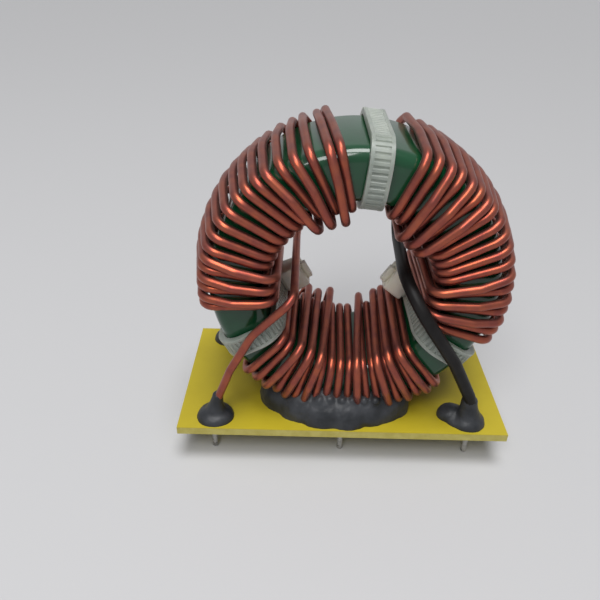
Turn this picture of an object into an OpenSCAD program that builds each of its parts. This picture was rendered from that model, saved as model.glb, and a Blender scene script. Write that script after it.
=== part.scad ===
// Three-phase common mode choke: a coated ring core stood on edge on a bare base board,
// with three windings of enamelled wire, three cable ties and six pins.
// The origin lies on the pin tips, under the middle of the board.
// X runs along the board, Y from front to back through the hole of the ring, Z up.

/* [Core] */
// Outer diameter of the coated ring core
core_od = 50; // [46:1:54]
// Hole diameter of the coated ring core
core_id = 32; // [31:0.5:36]
// Width of the core along its axis
core_w = 20; // [16:0.5:21]
// Rounding of the coating at the four rims
core_edge_r = 1.5; // [1.4:0.1:2.5]
// Height of the bare core over the board
core_lift = 2.1; // [2:0.1:4]
// Shift of the ring along the board
ring_x = 0.8; // [-2:0.2:2]
// Shift of the ring across the board
ring_y = -0.8; // [-1:0.1:0.6]

/* [Windings] */
// Diameter of the enamelled wire
wire_d = 1.5; // [1.1:0.05:1.5]
// Turns of the left and of the right winding
side_turns = 19; // [14:1:19]
// Turns of the bottom winding
bottom_turns = 20; // [14:1:20]
// Inside radius of the bends of the wire
bend_inner_r = 1.7; // [1.3:0.1:1.8]
// How far the outer runs of the side windings bow off the core
side_bow = 1; // [0.3:0.1:1.1]
// How far the outer runs of the bottom winding bow off the core
bottom_bow = 0.1; // [0:0.05:0.2]
// Space kept between a wire and what it lies on
wire_gap = 0.1; // [0.05:0.01:0.15]

/* [Leads] */
// Distance of the two long leads from the ring's axis, where they run through the hole
lead_r = 10.2; // [9:0.1:11]
// Height of a lead's knee over its pin
lead_rise = 4.9; // [4.6:0.1:6]
// How far the knee of a bare lead leans towards the ring
bare_lean = 1.7; // [0.5:0.1:2]
// How far the knee of the sleeved lead leans towards the ring
sleeve_lean = 1; // [0.5:0.1:2]
// Wall of the sleeve on the front right lead
sleeve_wall = 0.35; // [0.2:0.05:0.4]

/* [Cable ties] */
// Width of the strap
tie_w = 3.6; // [2.6:0.1:3.8]
// Thickness of the strap
tie_t = 1.15; // [0.9:0.05:1.3]
// Pitch of the teeth on the strap
tooth_pitch = 1.1; // [0.9:0.05:1.4]
// Depth of the teeth
tooth_depth = 0.3; // [0.15:0.05:0.4]
// Width of the head across the strap
head_w = 5.2; // [4.6:0.1:5.6]
// Length of the head along the strap
head_l = 5.4; // [4.5:0.1:6]
// Height of the head over the strap
head_h = 4.2; // [3.4:0.1:4.4]
// Length of the cut tail that stands out of the head
tail_l = 0.9; // [0.6:0.1:2]

/* [Base board] */
// Length of the board
board_w = 62; // [58:1:70]
// Depth of the board
board_d = 32; // [32:1:40]
// Thickness of the board
board_t = 1.6; // [1.2:0.1:2.4]

/* [Pins] */
// Diameter of a pin
pin_d = 1.1; // [0.8:0.05:1.3]
// Distance from one pin to the next along the board
pin_pitch_x = 24.6; // [22:0.2:27]
// Distance between the two rows of pins
pin_pitch_y = 25; // [24:0.2:26]
// Length of a pin under the board
pin_below = 6.4; // [3:0.1:8]
// Length of a pin over the board
pin_above = 1; // [0.8:0.1:1.2]

/* [Silicone] */
// Radius of the foot of a silicone cone on a corner pin
cone_r = 3.7; // [3.2:0.1:4]
// Height of a silicone cone
cone_h = 5.6; // [4.8:0.1:6.5]
// Height of the middle of the silicone bed under the ring
bed_h = 6; // [4.5:0.1:6.5]
// Radius of the front and back rounding of the middle of the bed
bed_r = 6.9; // [6:0.1:7]

/* [Hidden] */
$fn = 48;

// ---- Places that several pieces share ----
// Small clearances: round pins and wires in their holes, and the straps on the core
fit = 0.05;
tie_gap = 0.12;
// A pin's shoulder bears on the board from below, and its thinner shank goes through
pin_shoulder = 0.1;
shank_d = pin_d - 2 * pin_shoulder;
board_top = pin_below + board_t;
ring_z = board_top + core_lift + core_od / 2;
pin_x = pin_pitch_x;
pin_y = pin_pitch_y / 2;
joint_z = board_top + pin_above;

// Centre lines of the wire on the rim, in the hole and on the two faces of the core
bend_r = bend_inner_r + wire_d / 2;
wire_out_r = core_od / 2 + wire_gap + wire_d / 2;
wire_in_r = core_id / 2 - wire_gap - wire_d / 2;
wire_face_y = core_w / 2 + wire_gap + wire_d / 2;
// Step from one layer of wire to the next
layer_gap = 0.06;
layer = wire_d + layer_gap;
// How far a cutter reaches past what it cuts
past = 1;

// A point on the ring: angle seen from the front, distance from the axis, distance from mid-width
function ring_pt(a, r, y) = [ring_x + r * cos(a), ring_y + y, ring_z + r * sin(a)];
function unit(v) = v / norm(v);
function scaled(list, factor) = [for (pair = list) [pair[0], pair[1] * factor]];

// ---- Round bar along a route of [corner, bend radius] ----
// Stands what is drawn on the point `at`, with its X and Z along the given directions. The whole
// millimetres are moved apart from the rest, which keeps the joints between runs and bends tight.
module stand(at, x_dir, z_dir) {
    y_dir = cross(z_dir, x_dir);
    whole = [for (value = at) floor(value)];
    rest = at - whole;
    translate(whole) multmatrix([
        [x_dir.x, y_dir.x, z_dir.x, rest.x],
        [x_dir.y, y_dir.y, z_dir.y, rest.y],
        [x_dir.z, y_dir.z, z_dir.z, rest.z],
        [0, 0, 0, 1]
    ]) children();
}

function run_dir(route, i) = unit(route[i + 1][0] - route[i][0]);
// Length that a bend takes from the runs on both sides of its corner
function bend_trim(route, i) =
    i == 0 || i == len(route) - 1 ? 0
    : let (c = run_dir(route, i - 1) * run_dir(route, i)) route[i][1] * sqrt((1 - c) / (1 + c));

// One run with the bend at its far end. A bend is a hair thinner than the runs, and its ends
// lie just inside them.
joint_lap = 0.05;
bend_thinner = 0.02;
module run_and_bend(route, d, i) {
    last = i + 2 == len(route);
    run = run_dir(route, i);
    side = unit(cross(run, abs(run.z) < 0.9 ? [0, 0, 1] : [1, 0, 0]));
    from = bend_trim(route, i) - (i > 0 ? joint_lap : 0);
    to = norm(route[i + 1][0] - route[i][0]) - bend_trim(route, i + 1) + (last ? 0 : joint_lap);
    stand(route[i][0] + run * from, side, run) cylinder(h = to - from, d = d);
    if (!last) {
        after = run_dir(route, i + 1);
        radius = route[i + 1][1];
        axis = unit(cross(run, after));
        inward = cross(axis, run);
        start = route[i + 1][0] - run * bend_trim(route, i + 1);
        stand(start + inward * radius, -inward, axis) rotate_extrude(angle = acos(run * after))
            translate([radius, 0]) circle(d = d - bend_thinner);
    }
}

// A long bar is joined from its two halves, and so on down to single runs
module bar_part(route, d, first, last) {
    if (first == last) run_and_bend(route, d, first);
    else {
        middle = floor((first + last) / 2);
        bar_part(route, d, first, middle);
        bar_part(route, d, middle + 1, last);
    }
}

module bent_bar(route, d) {
    bar_part(route, d, 0, len(route) - 2);
}

// ---- Core ----
module rounded_slab(w, h, r) {
    square([w - 2 * r, h], center = true);
    square([w, h - 2 * r], center = true);
    for (x = [-1, 1], y = [-1, 1]) translate([x * (w / 2 - r), y * (h / 2 - r)]) circle(r = r);
}

// Lays the Z axis of what is drawn along the axis of the ring
module about_ring_axis() {
    translate([ring_x, ring_y, ring_z]) rotate([90, 0, 0]) children();
}

core_wall = (core_od - core_id) / 2;
core_mid_r = (core_od + core_id) / 4;

module core() {
    color("#1f5a38")
    about_ring_axis() rotate_extrude() translate([core_mid_r, 0])
        rounded_slab(core_wall, core_w, core_edge_r);
}

// ---- Windings ----
// A winding is a row of like turns. Each list gives a value by the turn's share of the winding:
// `rim` the angle on the rim seen from the front, `lean` how much further on the back end of the
// rim run lies, and `bow` how far it stands off. `front` and `back` are the first and last angle
// in the hole. The hole is too tight for one layer, so the turns in `over` ride on the others.
left_rim = [[0, 98.5], [0.06, 102.5], [0.11, 108.8], [0.28, 125.5], [0.44, 138.5], [0.66, 161], [1, 186]];
left_lean = [[0, 4], [0.06, 4], [0.17, 1.5], [1, 0.6]];
left_bow = [[0, 0.5], [0.12, 1.2], [0.3, 1.6], [0.5, 2], [0.75, 2], [1, 1.5]];
left_front = [95, 188.8];
left_back = [99.5, 193.5];
left_over = [1, 3, 5, 13, 15, 17];
right_rim = [[0, 69.2], [0.28, 45.8], [0.39, 37.6], [0.67, 9], [0.78, -1.2], [1, -20]];
right_lean = [[0, 0.8], [1, 0.3]];
right_bow = [[0, 0.7], [0.2, 1.3], [0.5, 1.9], [0.8, 1.9], [1, 1.4]];
right_front = [71.5, -22.4];
right_back = [67, -22.8];
right_over = [2, 4, 6, 12, 14, 16];
bottom_rim = [[0, 222.5], [0.16, 238.6], [0.32, 251.4], [0.53, 270.4], [0.74, 289], [1, 310.4]];
bottom_lean = [[0, 1.5], [1, 1.5]];
bottom_front = [219, 311.8];
bottom_back = [221.5, 314];
bottom_over = [2, 4, 6, 11, 14, 16, 18];
straight = [[0, 1], [1, 1]];
none = [[0, 0], [1, 0]];
// The right winding is looser: its turns stand off the wall of the hole at the front and back
right_slack_front = [[0, 0.3], [0.15, 1.1], [0.8, 1.1], [0.9, 0.8], [1, 0.1]];
right_slack_back = [[0, 0.3], [0.15, 0.7], [0.9, 0.7], [1, 0]];
// How much further on the back end of a lifted turn's run through the hole lies
bottom_slant = [[0, 4], [0.32, 7.4], [0.6, 6], [0.75, 4], [1, 0]];
// One turn of the bottom winding stands higher than the other lifted ones at its back end
raised_turn = 6;
raise = 1.3;
no_turn = -1;

function is_over(k, over) = len([for (o = over) if (o == k) o]) > 0;
// A turn that rides over its neighbours needs less room along the hole
over_room = 0.4;
function room(k, over) = is_over(k, over) ? over_room : 1;
function room_to(k, over) = k < 0 ? 0 : room(k, over) + room_to(k - 1, over);
function in_hole(k, turns, span, over) =
    let (
        first = room(0, over) / 2,
        last = room_to(turns - 1, over) - room(turns - 1, over) / 2,
        here = room_to(k, over) - room(k, over) / 2
    )
    span[0] + (span[1] - span[0]) * (here - first) / (last - first);
function share(k, turns) = k / (turns - 1);

// Over the rim from back to front
bow_r = 9 * bend_r;
function rim_run(k, turns, rim, lean, bow) =
    let (
        a = lookup(share(k, turns), rim),
        l = lookup(share(k, turns), lean),
        off = lookup(share(k, turns), bow)
    )
    concat(
        [[ring_pt(a + l, wire_out_r, wire_face_y), bend_r]],
        off > 0 ? [[ring_pt(a + l / 2, wire_out_r + off, 0), bow_r]] : [],
        [[ring_pt(a, wire_out_r, -wire_face_y), bend_r]]
    );
// Down the front face, back through the hole and, up to the next turn, up the back face
function hole_run(k, turns, rim, lean, front, back, over, slack_front, slack_back, slant, raised) =
    let (
        up = is_over(k, over) ? layer : 0,
        up_back = k == raised ? up + raise : up,
        a = lookup(share(k, turns), rim),
        f = in_hole(k, turns, front, over),
        b = in_hole(k, turns, back, over) + (up > 0 ? lookup(share(k, turns), slant) : 0),
        f_r = wire_in_r - up - lookup(share(k, turns), slack_front),
        b_r = wire_in_r - up_back - lookup(share(k, turns), slack_back),
        next = lookup(share(k + 1, turns), rim) + lookup(share(k + 1, turns), lean)
    )
    concat(
        up > 0 ? [[ring_pt((a + f) / 2, core_mid_r, -wire_face_y - up), bend_r]] : [],
        [
            [ring_pt(f, f_r, -wire_face_y - up), bend_r],
            [ring_pt(b, b_r, wire_face_y + up), bend_r]
        ],
        up > 0 && k < turns - 1
            ? [[ring_pt((b + next) / 2, core_mid_r, wire_face_y + up), bend_r]] : []
    );

// ---- Leads ----
// The long leads pass clear of the straps and wires in front, and of the lifted turns at the back
strap_out_y = core_w / 2 + tie_gap + tie_t;
face_out_y = max(strap_out_y, wire_face_y + wire_d / 2) + wire_gap;
turns_out_y = wire_face_y + layer + wire_d / 2 + wire_gap;
lead_y = face_out_y + wire_d / 2;
lead_back_y = turns_out_y + wire_d / 2;
sleeve_od = wire_d + 2 * (fit + sleeve_wall);
sleeve_y = face_out_y + sleeve_od / 2;
sleeve_back_y = turns_out_y + sleeve_od / 2;
sweep_r = 3 * bend_r;
rim_side_r = core_od / 2 + wire_d;
top_side_r = core_od / 2 - wire_d;
face_side_r = core_mid_r - wire_d;

// A lead stands on its pin, leans towards the ring and bends at the knee over its silicone cone
butt = 0.25;
knee_out = 0.2;
function on_pin(side, row, lean) = [
    [[side * pin_x, row * pin_y, joint_z + butt], 0],
    [[side * (pin_x - lean), row * (pin_y + knee_out), joint_z + lead_rise], sweep_r]
];
function turned(list) = [for (i = [len(list) - 1 : -1 : 0]) list[i]];
// Angles at which the leads pass the rim, the faces and the hole, and where they become turns
left_lead_rim = 215.5;
left_lead_face = 203.5;
left_lead_hole = 180;
left_lead_top = 105;
left_tail_face = 199;
left_tail_rim = 214;
right_lead_face = 326;
right_lead_face_r = 22.2;
right_lead_hole = 22;
right_lead_hole_r = 8.7;
// The sleeve stands further out where it turns into the hole, clear of a lifted turn
right_lead_out = 1.1;
right_lead_back = 358;
right_lead_top = 70;
right_tail_face = 334;
right_tail_rim = 324;
bottom_tail = 320;
left_start = concat(on_pin(-1, -1, bare_lean), [
    [ring_pt(left_lead_rim, rim_side_r, -lead_y), sweep_r],
    [ring_pt(left_lead_face, face_side_r, -lead_y), sweep_r],
    [ring_pt(left_lead_hole, lead_r, -lead_y), bend_r],
    [ring_pt(left_lead_hole, lead_r, lead_back_y), bend_r],
    [ring_pt(left_lead_top, top_side_r, lead_back_y), bend_r]
]);
left_end = concat([
    [ring_pt(left_tail_face, face_side_r, lead_y), sweep_r],
    [ring_pt(left_tail_rim, rim_side_r, lead_y), sweep_r]
], turned(on_pin(-1, 1, bare_lean)));
right_start = concat(on_pin(1, -1, sleeve_lean), [
    [ring_pt(right_lead_face, right_lead_face_r, -sleeve_y), sweep_r],
    [ring_pt(right_lead_hole, right_lead_hole_r, -sleeve_y - right_lead_out), bend_r],
    [ring_pt(right_lead_back, lead_r, sleeve_back_y), bend_r],
    [ring_pt(right_lead_top, top_side_r, sleeve_back_y), bend_r]
]);
right_end = concat([
    [ring_pt(right_tail_face, face_side_r, lead_y), sweep_r],
    [ring_pt(right_tail_rim, rim_side_r, lead_y), sweep_r]
], turned(on_pin(1, 1, bare_lean)));
// The bottom winding starts behind the ring, beside the rear middle pin. It ends over the rim at
// the right, and its end runs forward through the silicone bed, under the ring, to the front pin.
low_gap = 0.3;
low_z = board_top + low_gap + wire_d / 2;
low_y = pin_y + shank_d / 2 + fit + wire_d / 2;
low_past = 0.35;
low_start_x = 10.2;
low_side_x = 11.6;
low_back_y = 9.5;
low_front_y = 8;
low_turn_x = 6;
bottom_start = [
    [[low_past, low_y, low_z], 0],
    [[-low_start_x, low_y, low_z], bend_r]
];
bottom_end = [
    [ring_pt(bottom_tail, wire_out_r, lead_back_y), bend_r],
    [[low_side_x, low_back_y, low_z], bend_r],
    [[low_side_x, -low_front_y, low_z], bend_r],
    [[low_turn_x, -low_y, low_z], bend_r],
    [[-low_past, -low_y, low_z], 0]
];

left_turns = [for (k = [0 : side_turns - 1]) each concat(
    rim_run(k, side_turns, left_rim, left_lean, scaled(left_bow, side_bow)),
    hole_run(
        k, side_turns, left_rim, left_lean, left_front, left_back, left_over,
        none, none, none, no_turn
    )
)];
right_turns = [for (k = [0 : side_turns - 1]) each concat(
    rim_run(k, side_turns, right_rim, right_lean, scaled(right_bow, side_bow)),
    hole_run(
        k, side_turns, right_rim, right_lean, right_front, right_back, right_over,
        right_slack_front, right_slack_back, none, no_turn
    )
)];
bottom_route = [for (k = [0 : bottom_turns - 1]) each concat(
    rim_run(k, bottom_turns, bottom_rim, bottom_lean, scaled(straight, bottom_bow)),
    hole_run(
        k, bottom_turns, bottom_rim, bottom_lean, bottom_front, bottom_back, bottom_over,
        none, none, bottom_slant, raised_turn
    )
)];

module winding_left() {
    color("#a5422f") bent_bar(concat(left_start, left_turns, left_end), wire_d);
}

module winding_right() {
    color("#a5422f") bent_bar(concat(right_start, right_turns, right_end), wire_d);
}

module winding_bottom() {
    color("#a5422f") bent_bar(concat(bottom_start, bottom_route, bottom_end), wire_d);
}

// The sleeve covers the front right lead from inside its silicone cone to the top of the ring
sleeve_from = 1.4;
sleeve_share = 0.8;
sleeve_last = len(right_start) - 1;
sleeve_end = right_start[sleeve_last - 1][0] * (1 - sleeve_share)
    + right_start[sleeve_last][0] * sleeve_share;
sleeve_foot = right_start[0][0] + sleeve_from * run_dir(right_start, 0);
sleeve_route = concat(
    [[sleeve_foot, 0]],
    [for (i = [1 : sleeve_last - 1]) right_start[i]],
    [[sleeve_end, 0]]
);

// The same route, made longer at both ends
sleeve_through = concat(
    [[sleeve_foot - past * run_dir(sleeve_route, 0), 0]],
    [for (i = [1 : len(sleeve_route) - 2]) sleeve_route[i]],
    [[sleeve_end + past * run_dir(sleeve_route, len(sleeve_route) - 2), 0]]
);

module lead_sleeve() {
    color("#26211f") difference() {
        bent_bar(sleeve_route, sleeve_od);
        bent_bar(sleeve_through, sleeve_od - 2 * sleeve_wall);
    }
}

// ---- Cable ties ----
// A tie is drawn in the section plane of the ring: X away from the axis, Y to the back
strap_in_w = core_wall + 2 * tie_gap;
strap_in_h = core_w + 2 * tie_gap;
strap_in_r = core_edge_r + tie_gap;
strap_out_w = strap_in_w + 2 * tie_t;
strap_out_h = strap_in_h + 2 * tie_t;
strap_out_r = strap_in_r + tie_t;
// A smooth rail runs along both edges of the toothed strap
rail_w = 0.6;
// The head lies in the hole, this far in front of the back rim, and stands a step off the strap
head_inset = 3.6;
head_step = 0.75;
head_y = core_w / 2 - head_inset;
head_top_r = core_id / 2 - tie_gap - tie_t - head_step;
// Room round the tail in the mouth of the head
pocket = 0.5;
tie_top_angle = 84.3;
tie_left_angle = 209.2;
tie_right_angle = 326.8;

// Point at distance s along the strap's outline, sunk by depth
side_w = strap_out_w - 2 * strap_out_r;
side_h = strap_out_h - 2 * strap_out_r;
corner = strap_out_r * PI / 2;
strap_round = 2 * (side_w + side_h) + 4 * corner;
function on_strap(s, depth) =
    s >= strap_round / 2 ? -on_strap(s - strap_round / 2, depth)
    : s < side_h ? [strap_out_w / 2 - depth, s - side_h / 2]
    : s < side_h + corner ?
        let (a = 90 * (s - side_h) / corner)
        [side_w / 2 + (strap_out_r - depth) * cos(a), side_h / 2 + (strap_out_r - depth) * sin(a)]
    : s < side_h + corner + side_w ? [side_w / 2 - (s - side_h - corner), strap_out_h / 2 - depth]
    : let (a = 90 + 90 * (s - side_h - corner - side_w) / corner)
        [-side_w / 2 + (strap_out_r - depth) * cos(a), side_h / 2 + (strap_out_r - depth) * sin(a)];
// One tooth: share of the pitch, share of the depth. The teeth lie a little below the rails.
tooth_shape = [[0, 0], [0.4, 0], [0.55, 1], [0.9, 1]];
tooth_sink = 0.05;
teeth = floor(strap_round / tooth_pitch / 2) * 2;
function tooth(i) = [for (step = tooth_shape)
    on_strap((i + step[0]) * strap_round / teeth, tooth_sink + step[1] * tooth_depth)];

module strap_section(toothed) {
    difference() {
        if (toothed) polygon([for (i = [0 : teeth - 1]) each tooth(i)]);
        else rounded_slab(strap_out_w, strap_out_h, strap_out_r);
        rounded_slab(strap_in_w, strap_in_h, strap_in_r);
    }
}

module cable_tie(a) {
    translate([ring_x, ring_y, ring_z]) rotate([0, -a, 0]) {
        translate([core_mid_r, 0, 0]) {
            linear_extrude(height = tie_w - 2 * rail_w, center = true) strap_section(true);
            for (z = [-1, 1]) translate([0, 0, z * (tie_w - rail_w) / 2])
                linear_extrude(height = rail_w, center = true) strap_section(false);
        }
        difference() {
            union() {
                translate([head_top_r - head_h, head_y - head_l / 2, -head_w / 2])
                    cube([head_h, head_l, head_w]);
                translate([head_top_r - past, head_y - head_l / 2, -tie_w / 2])
                    cube([past + head_step + tie_t / 2, head_l, tie_w]);
            }
            translate([head_top_r - head_h - past, head_y - tie_t / 2 - pocket, -tie_w / 2 - pocket])
                cube([past + head_h / 2, tie_t + 2 * pocket, tie_w + 2 * pocket]);
        }
        translate([head_top_r - head_h - tail_l, head_y - tie_t / 2, -tie_w / 2])
            cube([tail_l + head_h / 2 + past, tie_t, tie_w]);
    }
}

module tie_top() {
    color("#e4e6e2") cable_tie(tie_top_angle);
}

module tie_lower_left() {
    color("#e4e6e2") cable_tie(tie_left_angle);
}

module tie_lower_right() {
    color("#e4e6e2") cable_tie(tie_right_angle);
}

// ---- Base board and pins ----
module pin_holes() {
    for (x = [-1, 0, 1], y = [-1, 1])
        translate([x * pin_x, y * pin_y, pin_below - past])
            cylinder(h = board_t + 2 * past, d = shank_d + 2 * fit);
}

module base_board() {
    color("#d9c81c") difference() {
        translate([-board_w / 2, -board_d / 2, pin_below]) cube([board_w, board_d, board_t]);
        pin_holes();
    }
}

pin_tip = 0.25;

module pin(column, row) {
    r = pin_d / 2;
    color("#c9ccd0") translate([column * pin_x, row * pin_y, 0]) rotate_extrude()
        polygon([
            [0, 0], [r - pin_tip, 0], [r, pin_tip], [r, pin_below],
            [shank_d / 2, pin_below], [shank_d / 2, joint_z], [0, joint_z]
        ]);
}

// ---- Solder ----
// On a corner pin the wire stands on the pin; on a middle pin it runs past the pin
solder_r = 1.5;
solder_top_r = 1.2;
corner_solder_h = pin_above + 1;
low_solder_r = 1.75;
low_solder_over = 0.35;
low_solder_h = low_z - board_top + low_solder_over;

module solder_on(column, row, extra) {
    if (column == 0)
        translate([0, row * (pin_y + low_y) / 2, board_top])
            cylinder(h = low_solder_h + extra, r1 = low_solder_r + extra, r2 = solder_top_r + extra);
    else
        translate([column * pin_x, row * pin_y, board_top])
            cylinder(h = corner_solder_h + extra, r1 = solder_r + extra, r2 = solder_top_r + extra);
}

module pin_rounds() {
    for (x = [-1, 0, 1], y = [-1, 1])
        translate([x * pin_x, y * pin_y, board_top - past])
            cylinder(h = pin_above + past, d = shank_d + 2 * fit);
}

module solder_joints() {
    color("#9fa3a6") difference() {
        for (column = [-1, 0, 1], row = [-1, 1]) solder_on(column, row, 0);
        pin_rounds();
        for (start = [left_start, right_start, bottom_start])
            bent_bar([start[0], start[1]], wire_d + 2 * fit);
        for (end = [turned(left_end), turned(right_end), turned(bottom_end)])
            bent_bar([end[0], end[1]], wire_d + 2 * fit);
    }
}

// ---- Silicone ----
cone_neck = 0.3;
cone_neck_r = sleeve_od / 2 + cone_neck;
cone_steps = 8;
cone_sunk = 2;
dome_steps = 8;

// A cone of silicone on a corner pin. It leans with the lead that rises through it, which is
// d thick from `from` upwards. It is drawn too deep and cut off level with the board.
module silicone_cone(column, row, route, d, from) {
    foot = route[0][0];
    up = run_dir(route, 0);
    bottom = -cone_h * cone_sunk / cone_steps - pin_above;
    color("#4c5056") difference() {
        stand(foot, unit(cross(up, [0, column, 0])), up) rotate_extrude()
            polygon(concat(
                [[d / 2 + fit, from], [d / 2 + fit, cone_h - pin_above]],
                [for (i = [cone_steps : -1 : -cone_sunk]) let (t = i / cone_steps)
                    [cone_neck_r + (cone_r - cone_neck_r) * (1 - t) * (1 - t), cone_h * t - pin_above]],
                [[wire_d / 2 + fit, bottom], [wire_d / 2 + fit, from]]
            ));
        translate(foot - [2 * cone_r, 2 * cone_r, foot.z - board_top + cone_h])
            cube([4 * cone_r, 4 * cone_r, cone_h]);
        solder_on(column, row, fit);
    }
}

module silicone_cone_front_left() {
    silicone_cone(-1, -1, left_start, wire_d, 0);
}

module silicone_cone_rear_left() {
    silicone_cone(-1, 1, turned(left_end), wire_d, 0);
}

module silicone_cone_front_right() {
    silicone_cone(1, -1, right_start, sleeve_od, sleeve_from);
}

module silicone_cone_rear_right() {
    silicone_cone(1, 1, turned(right_end), wire_d, 0);
}

// The bed is a chain of low domes, three in front of the ring and three behind it. A dome's
// values are its place, how much less its radius is than bed_r, and how much higher it is than bed_h.
bed_domes = [
    [-9.2, -7, 0.5, 1.6], [-0.8, -9, 0, 0], [7.2, -7.6, 0.8, 0.6],
    [7.2, 7.6, 0.8, 0.6], [-0.8, 8.6, 0, 0], [-9.2, 7, 0.5, 1.6]
];
bed_facets = 32;
room_facets = 96;
// The lifted turns stand less far out where the bed meets them
room_shallow = 0.3;
bed_links = [[0, 1], [1, 2], [2, 3], [3, 4], [4, 5], [5, 0], [1, 4], [0, 4]];

module bed_dome(i) {
    spot = bed_domes[i];
    translate([spot[0], spot[1], board_top]) rotate_extrude($fn = bed_facets)
        polygon(concat([[0, 0]], [for (step = [0 : dome_steps]) let (a = 90 * step / dome_steps)
            [(bed_r - spot[2]) * cos(a), (bed_h + spot[3]) * sin(a)]]));
}

// Everything that the ring with its bottom winding sweeps
module ring_room() {
    reach = wire_out_r + bottom_bow + wire_d / 2 + wire_gap;
    depth = 2 * (turns_out_y - room_shallow);
    about_ring_axis() rotate_extrude($fn = room_facets) translate([reach / 2 + core_id / 4, 0])
        rounded_slab(reach - core_id / 2, depth, bend_r + wire_d / 2);
}

module silicone_bed() {
    color("#4c5056") difference() {
        for (link = bed_links) hull() {
            bed_dome(link[0]);
            bed_dome(link[1]);
        }
        ring_room();
        solder_on(0, -1, fit);
        solder_on(0, 1, fit);
        bent_bar(concat(bottom_start, [bottom_route[0]]), wire_d + 2 * fit);
        bent_bar(concat([bottom_route[len(bottom_route) - 1]], bottom_end), wire_d + 2 * fit);
    }
}

module pin_front_left() {
    pin(-1, -1);
}

module pin_front_centre() {
    pin(0, -1);
}

module pin_front_right() {
    pin(1, -1);
}

module pin_rear_left() {
    pin(-1, 1);
}

module pin_rear_centre() {
    pin(0, 1);
}

module pin_rear_right() {
    pin(1, 1);
}

core();
winding_left();
winding_right();
winding_bottom();
tie_top();
tie_lower_left();
tie_lower_right();
lead_sleeve();
base_board();
silicone_bed();
silicone_cone_front_left();
silicone_cone_front_right();
silicone_cone_rear_left();
silicone_cone_rear_right();
pin_front_left();
pin_front_centre();
pin_front_right();
pin_rear_left();
pin_rear_centre();
pin_rear_right();
solder_joints();
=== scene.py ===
import math
import random

import bpy
from mathutils import Matrix, Vector


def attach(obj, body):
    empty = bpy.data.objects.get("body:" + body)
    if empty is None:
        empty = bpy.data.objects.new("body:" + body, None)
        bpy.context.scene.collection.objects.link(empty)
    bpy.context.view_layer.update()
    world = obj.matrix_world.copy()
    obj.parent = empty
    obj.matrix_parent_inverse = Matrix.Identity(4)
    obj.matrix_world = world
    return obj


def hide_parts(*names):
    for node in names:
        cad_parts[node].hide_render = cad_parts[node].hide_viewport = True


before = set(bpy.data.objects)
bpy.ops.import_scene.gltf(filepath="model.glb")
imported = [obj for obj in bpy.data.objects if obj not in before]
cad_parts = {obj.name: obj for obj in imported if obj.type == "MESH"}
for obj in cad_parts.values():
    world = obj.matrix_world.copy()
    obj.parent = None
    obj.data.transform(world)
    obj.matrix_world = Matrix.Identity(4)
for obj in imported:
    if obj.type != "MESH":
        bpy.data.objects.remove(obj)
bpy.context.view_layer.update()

bpy.ops.object.select_all(action="DESELECT")

# ---- Core ----
# A ring of pressed powder, dipped and baked in a thick glossy green epoxy coating. The coating
# is round at the four rims and a little uneven. The ring stands on edge in its silicone bed.
MM = 0.001  # sizes are in millimetres, and a mesh is in metres
CORE_OD = 50
CORE_ID = 32
CORE_W = 20
RIM_R = 2.2
RIM_STEPS = 6
CORE_STEPS = 160
CORE_X = 0.8
CORE_Y = -0.8
CORE_LIFT = 2.1
PIN_BELOW = 6.4
BOARD_T = 1.6
BOARD_TOP = PIN_BELOW + BOARD_T
RING = Vector((CORE_X, CORE_Y, BOARD_TOP + CORE_LIFT + CORE_OD / 2))
MID_R = (CORE_OD + CORE_ID) / 4


def slab_outline(w, h, r, steps):
    """The points round a slab w wide and h high, whose corners are rounded by r."""
    points = []
    for quarter, (x, y) in enumerate(((1, 1), (-1, 1), (-1, -1), (1, -1))):
        for step in range(steps + 1):
            a = math.radians(90 * (quarter + step / steps))
            points.append((x * (w / 2 - r) + r * math.cos(a), y * (h / 2 - r) + r * math.sin(a)))
    return points


def put_down(piece, slot_name, *nodes):
    """Puts a finished piece's place into its mesh, and ties it to the frame."""
    bpy.ops.object.select_all(action="DESELECT")
    piece.select_set(True)
    bpy.context.view_layer.objects.active = piece
    bpy.ops.object.transform_apply(location=True, rotation=True, scale=True)
    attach(piece, "root")
    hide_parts(*nodes)
    piece.select_set(False)


def dress(piece, finish):
    """Gives the piece this finish and no other."""
    piece.data.materials.clear()
    piece.data.materials.append(finish)


def start_finish(name):
    """A new material, with its nodes, links, shader and object coordinates."""
    finish = bpy.data.materials.new(name)
    finish.use_nodes = True
    nodes = finish.node_tree.nodes
    place = nodes.new("ShaderNodeTexCoord")
    return finish, nodes, finish.node_tree.links, nodes["Principled BSDF"], place.outputs["Object"]


def start_effect(name, inputs, outputs):
    """A new shader node group with named sockets."""
    effect = bpy.data.node_groups.new(name, "ShaderNodeTree")
    for label, kind, value in inputs:
        socket = effect.interface.new_socket(name=label, in_out="INPUT", socket_type=kind)
        if value is not None:
            socket.default_value = value
    for label, kind in outputs:
        effect.interface.new_socket(name=label, in_out="OUTPUT", socket_type=kind)
    return effect, effect.nodes.new("NodeGroupInput"), effect.nodes.new("NodeGroupOutput")


def place_effect(nodes, effect, **values):
    """An effect in a material, with the material's own values on its sockets."""
    box = nodes.new("ShaderNodeGroup")
    box.node_tree = effect
    for label, value in values.items():
        box.inputs[label].default_value = value
    return box


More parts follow.
